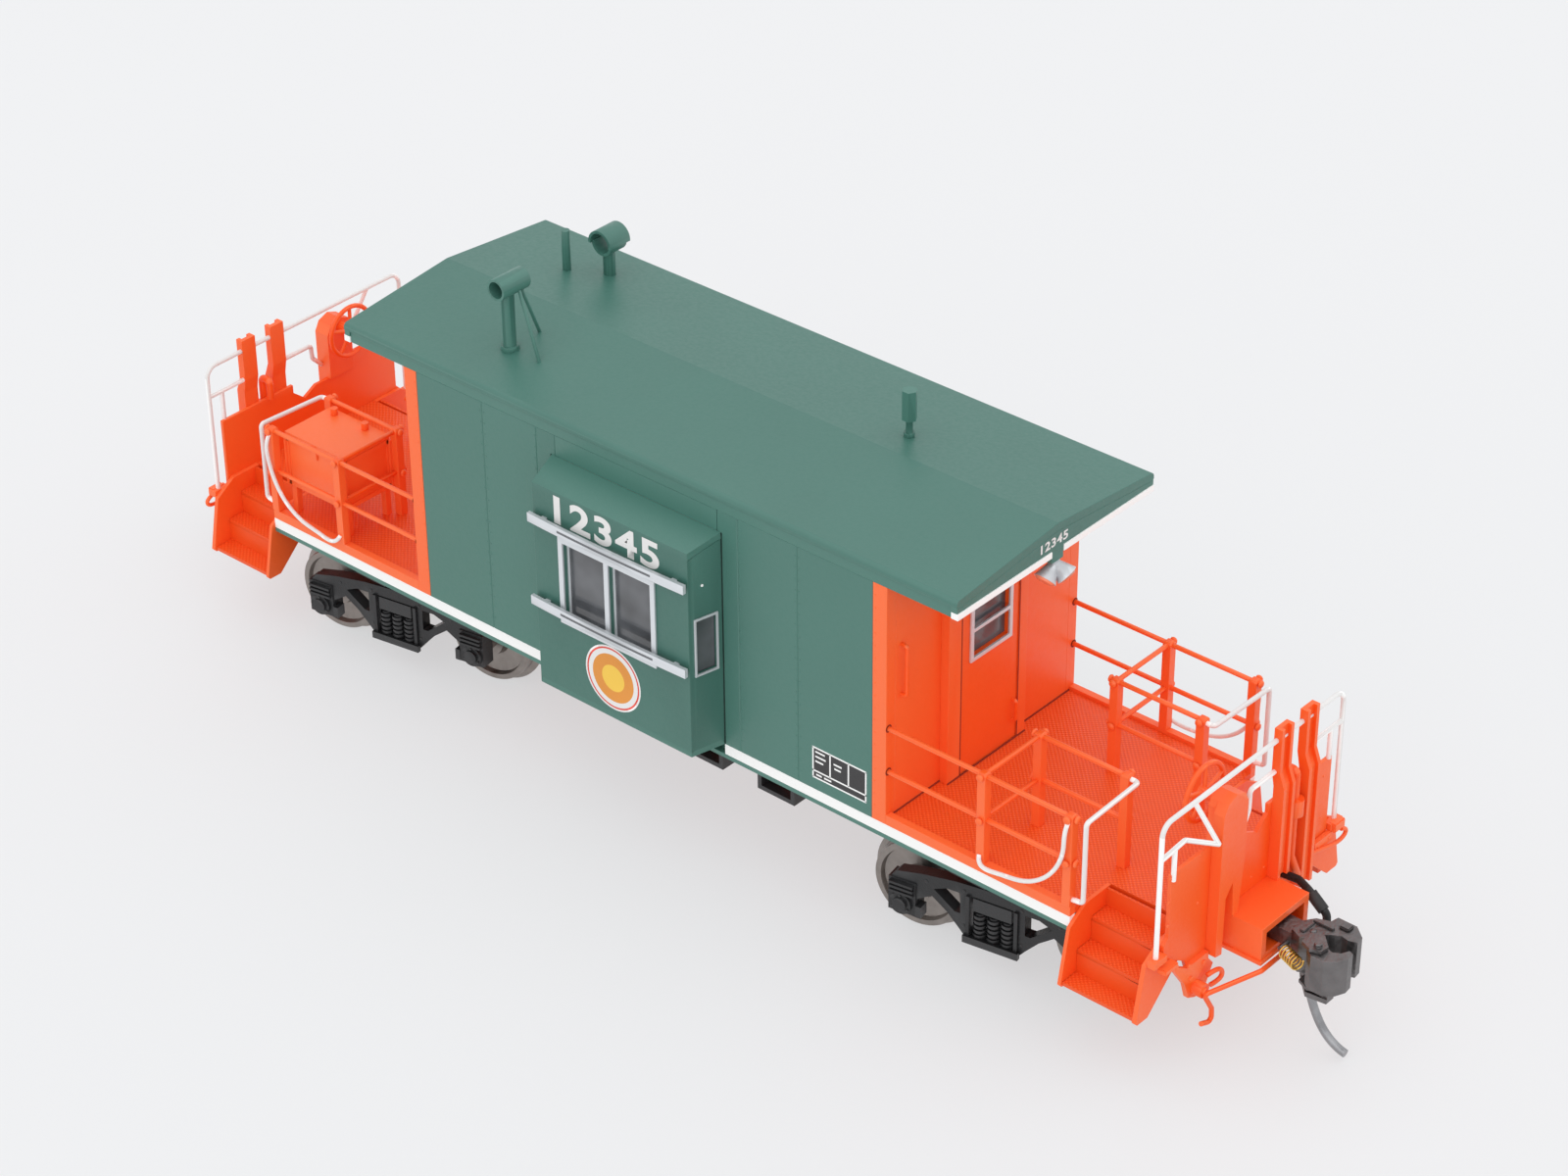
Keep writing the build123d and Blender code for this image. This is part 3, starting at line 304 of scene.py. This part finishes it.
def add_piece(name, mesh, material, body=CAR):
    """Link a finished mesh as one piece of the object, riding on a body."""
    mesh.materials.clear()
    mesh.materials.append(material)
    piece = bpy.data.objects.new(name, mesh)
    SCENE.collection.objects.link(piece)
    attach(piece, body)
    return piece


def mesh_of(name, build, smooth=False):
    """A mesh in metres from a function that fills a bmesh in millimetres."""
    bm = bmesh.new()
    build(bm)
    bmesh.ops.recalc_face_normals(bm, faces=bm.faces)
    bm.transform(Matrix.Scale(MM, 4))
    mesh = bpy.data.meshes.new(name)
    bm.to_mesh(mesh)
    bm.free()
    for polygon in mesh.polygons:
        polygon.use_smooth = smooth
    return mesh


def add_box(bm, x0, x1, y0, y1, z0, z1, soften=0.0):
    """A block, its edges softened by a small bevel."""
    centre = Matrix.Translation(((x0 + x1) / 2, (y0 + y1) / 2, (z0 + z1) / 2))
    size = Matrix.Diagonal((abs(x1 - x0), abs(y1 - y0), abs(z1 - z0), 1))
    made = bmesh.ops.create_cube(bm, size=1, matrix=centre @ size)
    if soften:
        edges_made = list({e for v in made["verts"] for e in v.link_edges})
        bmesh.ops.bevel(bm, geom=edges_made, offset=soften, segments=2, affect="EDGES")


def add_dome(bm, at, normal, radius, height=0.5):
    """A rivet head: a low dome standing on a face."""
    turn = Vector(normal).to_track_quat("Z", "Y").to_matrix().to_4x4()
    matrix = Matrix.Translation(at) @ turn @ Matrix.Diagonal((1, 1, height, 1))
    bmesh.ops.create_uvsphere(bm, u_segments=10, v_segments=6, radius=radius, matrix=matrix)


def add_nut(bm, at, normal, radius, height):
    """A six-sided nut standing on a face."""
    turn = Vector(normal).to_track_quat("Z", "Y").to_matrix().to_4x4()
    made = bmesh.ops.create_cone(bm, cap_ends=True, segments=6, radius1=radius, radius2=radius * 0.92,
                                 depth=height, matrix=Matrix.Translation(at) @ turn)
    bmesh.ops.bevel(bm, geom=list({e for v in made["verts"] for e in v.link_edges}), offset=radius * 0.12,
                    segments=1, affect="EDGES")


def add_ring(bm, at, normal, outer, inner, lift=0.0, segments=48):
    """A flat ring, or a disc where inner is 0."""
    turn = Vector(normal).to_track_quat("Z", "Y").to_matrix().to_4x4()
    place = Matrix.Translation(Vector(at) + Vector(normal).normalized() * lift) @ turn
    rims = []
    for radius in (outer, inner):
        if radius > 0:
            rims.append([bm.verts.new(place @ Vector((radius * math.cos(a), radius * math.sin(a), 0)))
                         for a in (2 * math.pi * i / segments for i in range(segments))])
    if inner > 0:
        for i in range(segments):
            j = (i + 1) % segments
            bm.faces.new((rims[0][i], rims[0][j], rims[1][j], rims[1][i]))
    else:
        bm.faces.new(rims[0])


def both_ends(build):
    """The same shapes at both ends of the car, half a turn apart."""
    def build_twice(bm):
        build(bm)
        other = bmesh.new()
        build(other)
        other.transform(Matrix.Rotation(math.pi, 4, "Z"))
        copy = bpy.data.meshes.new("turned")
        other.to_mesh(copy)
        other.free()
        bm.from_mesh(copy)
        bpy.data.meshes.remove(copy)
    return build_twice


# ---------------------------------------------------------------- lettering and signs

# Flat marks stand this far off the face they are on.
LETTER_LIFT = 0.02
BOLDER = 0.03
LETTER_SPACING = 1.12


def number_mesh(name, width, height, text):
    """Bold figures centred on their origin, in the XY plane, in millimetres."""
    curve = bpy.data.curves.new(name, "FONT")
    curve.body = text
    curve.offset = BOLDER
    curve.space_character = LETTER_SPACING
    holder = bpy.data.objects.new(name, curve)
    mesh = bpy.data.meshes.new_from_object(holder)
    bpy.data.objects.remove(holder)
    low = [min(v.co[i] for v in mesh.vertices) for i in (0, 1)]
    high = [max(v.co[i] for v in mesh.vertices) for i in (0, 1)]
    centre = Matrix.Translation((-(low[0] + high[0]) / 2, -(low[1] + high[1]) / 2, 0))
    mesh.transform(Matrix.Diagonal((width / (high[0] - low[0]), height / (high[1] - low[1]), 1, 1)) @ centre)
    return mesh


def place_numbers():
    """Plain figures on each bay and under each end of the roof."""
    upright = Matrix.Rotation(math.pi / 2, 4, "X")
    facing_end = Matrix.Rotation(math.pi / 2, 4, "Z") @ upright
    places = (
        ("bay_number", 13.9, 3.2, (-0.35, -BAY_FRONT - LETTER_LIFT, 36.05), upright),
        ("roof_number", 4.1, 1.0, (ROOF_END + LETTER_LIFT, -0.56, 42.95), facing_end),
    )
    for name, width, height, at, turn in places:
        for side, spin in (("a", 0), ("b", math.pi)):
            mesh = number_mesh(f"{name}_{side}", width, height, "12345")
            mesh.transform(Matrix.Rotation(spin, 4, "Z") @ Matrix.Translation(at) @ turn)
            mesh.transform(Matrix.Scale(MM, 4))
            add_piece(f"{name}_{side}", mesh, WHITE)


def place_roundels():
    """A plain ringed disc low on each bay."""
    at = (-0.1, -BAY_FRONT, 19.3)
    rings = (("white", WHITE, 3.7, 3.5), ("red", RED, 3.5, 3.3), ("cream", WHITE, 3.3, 2.75),
             ("amber", AMBER, 2.75, 1.5), ("yellow", YELLOW, 1.5, 0))
    for name, material, outer, inner in rings:
        mesh = mesh_of(f"roundel_{name}", both_ends(
            lambda bm, o=outer, i=inner: add_ring(bm, at, (0, -1, 0), o, i, LETTER_LIFT)))
        add_piece(f"roundel_{name}", mesh, material)


def place_data_panels():
    """Small black panel low on the wall, ruled in white, with plain bars for its lines."""
    back = -WALL_FACE
    ground_front = back - 0.01
    rule_front = back - 0.03
    x0, x1 = 22.55, 29.17
    z0, z1 = 15.95, 19.45
    foot = z0 + 0.8
    line = 0.08
    bar = 0.09
    add_piece("data_panel_ground", mesh_of("data_panel_ground", both_ends(
        lambda bm: add_box(bm, x0, x1, ground_front, back, z0, z1))), BLACK)

    def rules(bm):
        for z in (z0, z1, foot):
            add_box(bm, x0 - line, x1 + line, rule_front, back, z - line, z + line)
        for x, low in ((x0, z0), (x1, z0), (x0 + 2.15, foot), (x0 + 4.45, foot)):
            add_box(bm, x - line, x + line, rule_front, back, low, z1)
        bars = ((0.3, 1.5, 3.05), (0.3, 1.6, 2.5), (0.3, 1.3, 1.95), (2.6, 3.6, 2.6), (2.7, 3.5, 2.1),
                (0.4, 1.1, 0.4), (1.4, 2.3, 0.4))
        for start, stop, z in bars:
            add_box(bm, x0 + start, x0 + stop, rule_front, back, z0 + z - bar, z0 + z + bar)
    add_piece("data_panel_rules", mesh_of("data_panel_rules", both_ends(rules)), WHITE)
    add_piece("bay_end_spots", mesh_of("bay_end_spots", both_ends(
        lambda bm: add_dome(bm, (10.62, -16.9, 33.9), (0.85, -0.2, 0), 0.16))), WHITE)


place_numbers()
place_roundels()
place_data_panels()

# ---------------------------------------------------------------- rivets, sockets and seams

# A rail knob's radius, and its height as a share of it.
KNOB = (0.42, 0.55)


def four_corners():
    """Signs of x and y at the four pens."""
    return [(sx, sy) for sx in (1, -1) for sy in (1, -1)]


def place_rail_fittings():
    """Knobs where the rails pass through the stanchions, and dark sockets where they enter the wall."""
    outer, inner = PEN_Y

    def knobs(bm):
        for sx, sy in four_corners():
            for z in RAIL_Z:
                for x in PEN_X:
                    add_dome(bm, (sx * x, sy * (outer + POST_HALF), z), (0, sy, 0), *KNOB)
                    add_dome(bm, (sx * x, sy * (inner - POST_HALF), z), (0, -sy, 0), *KNOB)
                add_dome(bm, (sx * (PEN_X[1] + POST_HALF), sy * outer, z), (sx, 0, 0), *KNOB)
                add_dome(bm, (sx * (PEN_X[0] - POST_HALF), sy * inner, z), (-sx, 0, 0), *KNOB)
    add_piece("pen_rail_knobs", mesh_of("pen_rail_knobs", knobs, True), ORANGE)

    def sockets(bm):
        for sx, sy in four_corners():
            for z in RAIL_Z:
                add_ring(bm, (sx * BODY_END, sy * outer, z), (sx, 0, 0), 0.42, 0.2, LETTER_LIFT, 20)
    add_piece("rail_sockets", mesh_of("rail_sockets", sockets), DARK_SEAM)


def place_seams():
    """Dark joints between wall and deck, round the doors and beside the bays."""
    def deck_joint(bm):
        door_left, door_right, door_top, thick = -4.72, 4.12, 36.52, 0.06
        proud = DOORWAY_FACE + 0.03
        add_box(bm, BODY_END, BODY_END + 0.12, -13.8, 13.8, DECK_TOP, DECK_TOP + 0.1)
        add_box(bm, DOORWAY_FACE, DOORWAY_FACE + 0.1, -6.6, 5.4, DECK_TOP, DECK_TOP + 0.12)
        for y in (door_left, door_right):
            add_box(bm, DOORWAY_FACE, proud, y - thick, y + thick, DECK_TOP + 0.1, door_top - 0.02)
        add_box(bm, DOORWAY_FACE, proud, door_left - thick, door_right + thick, door_top - thick,
                door_top + thick)
    add_piece("platform_seams", mesh_of("platform_seams", both_ends(deck_joint)), DARK_SEAM)

    def bay_joint(bm):
        for sx in (1, -1):
            add_box(bm, sx * 11.11, sx * 11.25, -WALL_FACE - 0.04, -WALL_FACE, 14.6, 39.0)
    add_piece("bay_seams", mesh_of("bay_seams", both_ends(bay_joint)), GREEN_SEAM)


def place_rivets():
    """Fine rivets along wall seams, end posts and end sheets."""
    def green_rows(bm):
        for sx in (1, -1):
            for x in (13.45, 20.4, 20.9):
                for i in range(20):
                    add_dome(bm, (sx * x, -WALL_FACE, 15.9 + i * 1.28), (0, -1, 0), 0.09)
    add_piece("wall_rivets", mesh_of("wall_rivets", both_ends(green_rows), True), GREEN)

    def orange_rows(bm):
        for sy in (1, -1):
            for i in range(18):
                add_dome(bm, (30.2, sy * WALL_FACE, 16.2 + i * 1.4), (0, sy, 0), 0.1)
        for y, z in ((-12.6, 22.4), (-8.0, 22.4), (-12.6, 17.0), (-8.0, 17.0), (-12.6, 19.7), (11.8, 20.4),
                     (11.8, 15.6), (9.9, 20.4), (9.9, 15.6), (0.6, 15.0), (2.6, 15.0), (-1.5, 15.0)):
            add_dome(bm, (END_SHEET_FACE, y, z), (1, 0, 0), 0.15)
    add_piece("orange_rivets", mesh_of("orange_rivets", both_ends(orange_rows), True), ORANGE)


def place_guide_rail_shade():
    """Painted shade: a dark strip along each bowed guide rail of the bays, where its groove lies in shadow.
    """
    half_length = 10.2
    middle = -19.47
    bow = 0.25 / 10.3 ** 2
    half_groove = 0.14
    steps = 24

    def grooves(bm):
        for height in (24.7, 34.3):
            rows = []
            for i in range(steps + 1):
                x = half_length * (2 * i / steps - 1)
                y = middle + bow * x ** 2
                rows.append([bm.verts.new((x, y, height + lift)) for lift in (-half_groove, half_groove)])
            for left, right in zip(rows, rows[1:]):
                bm.faces.new((left[0], right[0], right[1], left[1]))
    add_piece("guide_rail_shade_strips", mesh_of("guide_rail_shade_strips", both_ends(grooves)), GROOVE_SHADE)


def place_coupler_details():
    """Casting ribs and the pin head on top of each coupler."""
    for side, spin in (("a", 0), ("b", math.pi)):
        def details(bm, spin=spin):
            add_box(bm, 70.1, 72.3, 0.9, 1.3, COUPLER_TOP, COUPLER_TOP + 0.3, 0.06)
            add_box(bm, 69.9, 70.4, -1.0, 0.8, COUPLER_TOP, COUPLER_TOP + 0.25, 0.06)
            add_box(bm, 72.4, 73.5, 1.7, 2.7, COUPLER_TOP, COUPLER_TOP + 0.35, 0.1)
            add_dome(bm, (70.9, -0.2, COUPLER_TOP + 0.05), (0, 0, 1), 0.35)
            add_nut(bm, (72.6, -1.9, 13.4), (0, 0, 1), 0.42, 0.2)
            bmesh.ops.rotate(bm, verts=bm.verts, cent=(0, 0, 0), matrix=Matrix.Rotation(spin, 3, "Z"))
        mesh = mesh_of(f"coupler_{side}_casting", details)
        add_piece(f"coupler_{side}_casting", mesh, COUPLER, f"coupler_{side}")


def tube_mesh(name, points, radius):
    """A smooth round rod through these points, in millimetres, repeated at both ends of the car."""
    curve = bpy.data.curves.new(name, "CURVE")
    curve.dimensions = "3D"
    curve.bevel_depth = radius
    curve.bevel_resolution = 3
    curve.use_fill_caps = True
    line = curve.splines.new("NURBS")
    line.points.add(len(points) - 1)
    for point, at in zip(line.points, points):
        point.co = (*at, 1)
    line.order_u = 3
    line.use_endpoint_u = True
    holder = bpy.data.objects.new(name, curve)
    mesh = bpy.data.meshes.new_from_object(holder)
    bpy.data.objects.remove(holder)
    return mesh_of(name, both_ends(lambda bm: bm.from_mesh(mesh)), True)


def place_corner_brackets():
    """Bracket and looped lever at the far corner of each end sheet."""
    def bracket(bm):
        plate = END_SHEET_FACE + 0.5
        add_box(bm, END_SHEET_FACE, END_SHEET_FACE + 0.9, 13.2, 14.9, 13.3, 14.3, 0.1)
        add_box(bm, END_SHEET_FACE, plate, 10.4, 13.4, 12.3, 13.5, 0.1)
        for y in (11.0, 12.8):
            add_dome(bm, (plate, y, 12.9), (1, 0, 0), 0.2)
    add_piece("corner_brackets", mesh_of("corner_brackets", both_ends(bracket)), ORANGE)
    lever = ((63.7, 10.0, 12.7), (63.9, 12.0, 12.3), (64.0, 13.9, 11.9), (64.0, 15.2, 12.1),
             (64.0, 15.3, 12.9), (64.0, 14.4, 13.2))
    add_piece("corner_levers", tube_mesh("corner_levers", lever, 0.22), ORANGE)


def place_bracket_details():
    """Bolts and a second eye on each uncoupling-lever bracket, and cotters on the lever."""
    def details(bm):
        for y, z in ((-11.6, 12.0), (-9.6, 10.9), (-7.2, 9.9), (-9.2, 9.2), (-7.4, 7.2)):
            add_nut(bm, (63.78, y, z), (1, 0, 0), 0.26, 0.2)
        add_nut(bm, (64.85, -8.3, 7.7), (1, 0, 0), 0.4, 0.25)
        add_box(bm, END_SHEET_FACE, END_SHEET_FACE + 1.0, -13.9, -11.9, 12.4, 13.0, 0.1)
    bolts = mesh_of("lever_bracket_bolts", both_ends(details))
    add_piece("lever_bracket_bolts", bolts, ORANGE)
    loop = ((64.2, -7.2, 8.6), (64.5, -6.0, 8.9), (64.6, -5.2, 8.2), (64.5, -5.4, 7.2), (64.2, -6.6, 7.1))
    add_piece("lever_bracket_loops", tube_mesh("lever_bracket_loops", loop, 0.24), ORANGE)


def place_post_details():
    """Pins and caps along the grooved end posts."""
    def pins(bm):
        for y, low in ((4.2, 15.0), (8.3, 13.0)):
            for i in range(6):
                add_dome(bm, (END_SHEET_FACE + 0.15, y - 0.75, low + i * 2.6), (0, -1, 0), 0.2)
    add_piece("end_post_pins", mesh_of("end_post_pins", both_ends(pins), True), ORANGE)


def place_truck_details():
    """Bolts on the bearing caps and frames of each truck."""
    cap_y, cap_bolts = 12.66, 0.98
    frame_y = 12.2
    turn = Matrix.Rotation(TRUCK_TURN, 4, "Z")
    for side, end in (("a", 1), ("b", -1)):
        place = Matrix.Translation((end * TRUCK_CENTRE, 0, 0)) @ turn

        def bolts(bm, place=place):
            for flip in (-1, 1):
                for axle in AXLES:
                    for angle in (math.radians(90 + 120 * i) for i in range(3)):
                        x = axle + cap_bolts * math.cos(angle)
                        z = AXLE_Z + cap_bolts * math.sin(angle)
                        add_nut(bm, (x, flip * cap_y, z), (0, flip, 0), 0.16, 0.16)
                for x, z in ((-3.1, 9.3), (3.1, 9.3), (-3.1, 5.2), (3.1, 5.2), (-7.2, 8.9), (7.2, 8.9)):
                    add_dome(bm, (x, flip * frame_y, z), (0, flip, 0), 0.2)
            bm.transform(place)
        mesh = mesh_of(f"truck_{side}_bolts", bolts)
        add_piece(f"truck_{side}_bolts", mesh, CASTING, f"truck_{side}")


def place_tool_box_details():
    """Corner posts, rails and hasp that stand proud of the tool box panels."""
    post, proud, rail = 0.35, 0.12, 0.25

    def frames(bm):
        for x in TOOL_BOX_X:
            for y in TOOL_BOX_Y:
                add_box(bm, x - post, x + post, y - proud, y + proud, 18.6, 24.4)
                add_box(bm, x - proud, x + proud, y - post, y + post, 18.6, 24.4)
        for z in (18.8, 24.2):
            for y in TOOL_BOX_Y:
                add_box(bm, *TOOL_BOX_X, y - proud, y + proud, z - rail, z + rail)
            for x in TOOL_BOX_X:
                add_box(bm, x - proud, x + proud, *TOOL_BOX_Y, z - rail, z + rail)
        add_box(bm, -48.6, -47.7, TOOL_BOX_Y[0] - 0.22, TOOL_BOX_Y[0], 23.2, 24.8, 0.06)
    add_piece("tool_box_frame", mesh_of("tool_box_frame", frames), ORANGE)


place_rail_fittings()
place_seams()
place_rivets()
place_guide_rail_shade()
place_coupler_details()
place_corner_brackets()
place_bracket_details()
place_post_details()
place_truck_details()
place_tool_box_details()

# ---------------------------------------------------------------- studio

LAMPS_AIM = (0, 0, 0.02)


def area_light(name, at, size, watts):
    """A soft square lamp aimed at the car."""
    data = bpy.data.lights.new(name, "AREA")
    data.size = size
    data.energy = watts
    lamp = bpy.data.objects.new(name, data)
    lamp.location = at
    lamp.rotation_euler = (Vector(LAMPS_AIM) - Vector(at)).to_track_quat("-Z", "Y").to_euler()
    SCENE.collection.objects.link(lamp)


def make_studio():
    """A pale floor that glows a little, so that shadows on it stay light, under soft lamps."""
    mesh = bpy.data.meshes.new("floor")
    half = 4.0
    corners = [(-half, -half, 0), (half, -half, 0), (half, half, 0), (-half, half, 0)]
    mesh.from_pydata(corners, [], [(0, 1, 2, 3)])
    floor = bpy.data.objects.new("floor", mesh)
    material, tree, shader, vector = new_material("floor_paper")
    cloudy = blend_colours(tree, noise(tree, vector, 0.02, 2), (0.278, 0.280, 0.284), (0.284, 0.286, 0.290))
    tree.links.new(cloudy, shader.inputs["Base Color"])
    shader.inputs["Roughness"].default_value = 0.75
    shader.inputs["Specular IOR Level"].default_value = 0.2
    shader.inputs["Emission Color"].default_value = (0.985, 0.99, 1.0, 1)
    shader.inputs["Emission Strength"].default_value = 0.565
    mesh.materials.append(material)
    SCENE.collection.objects.link(floor)
    world = bpy.data.worlds.new("studio")
    SCENE.world = world
    world.use_nodes = True
    background = world.node_tree.nodes["Background"]
    background.inputs["Color"].default_value = (0.97, 0.98, 1.0, 1)
    background.inputs["Strength"].default_value = 0.92
    area_light("key", (0.25, 0.0, 1.2), 2.6, 6.0)
    area_light("fill", (0.3, -1.1, 0.8), 1.4, 2.4)
    SCENE.view_settings.view_transform = "Standard"


make_studio()
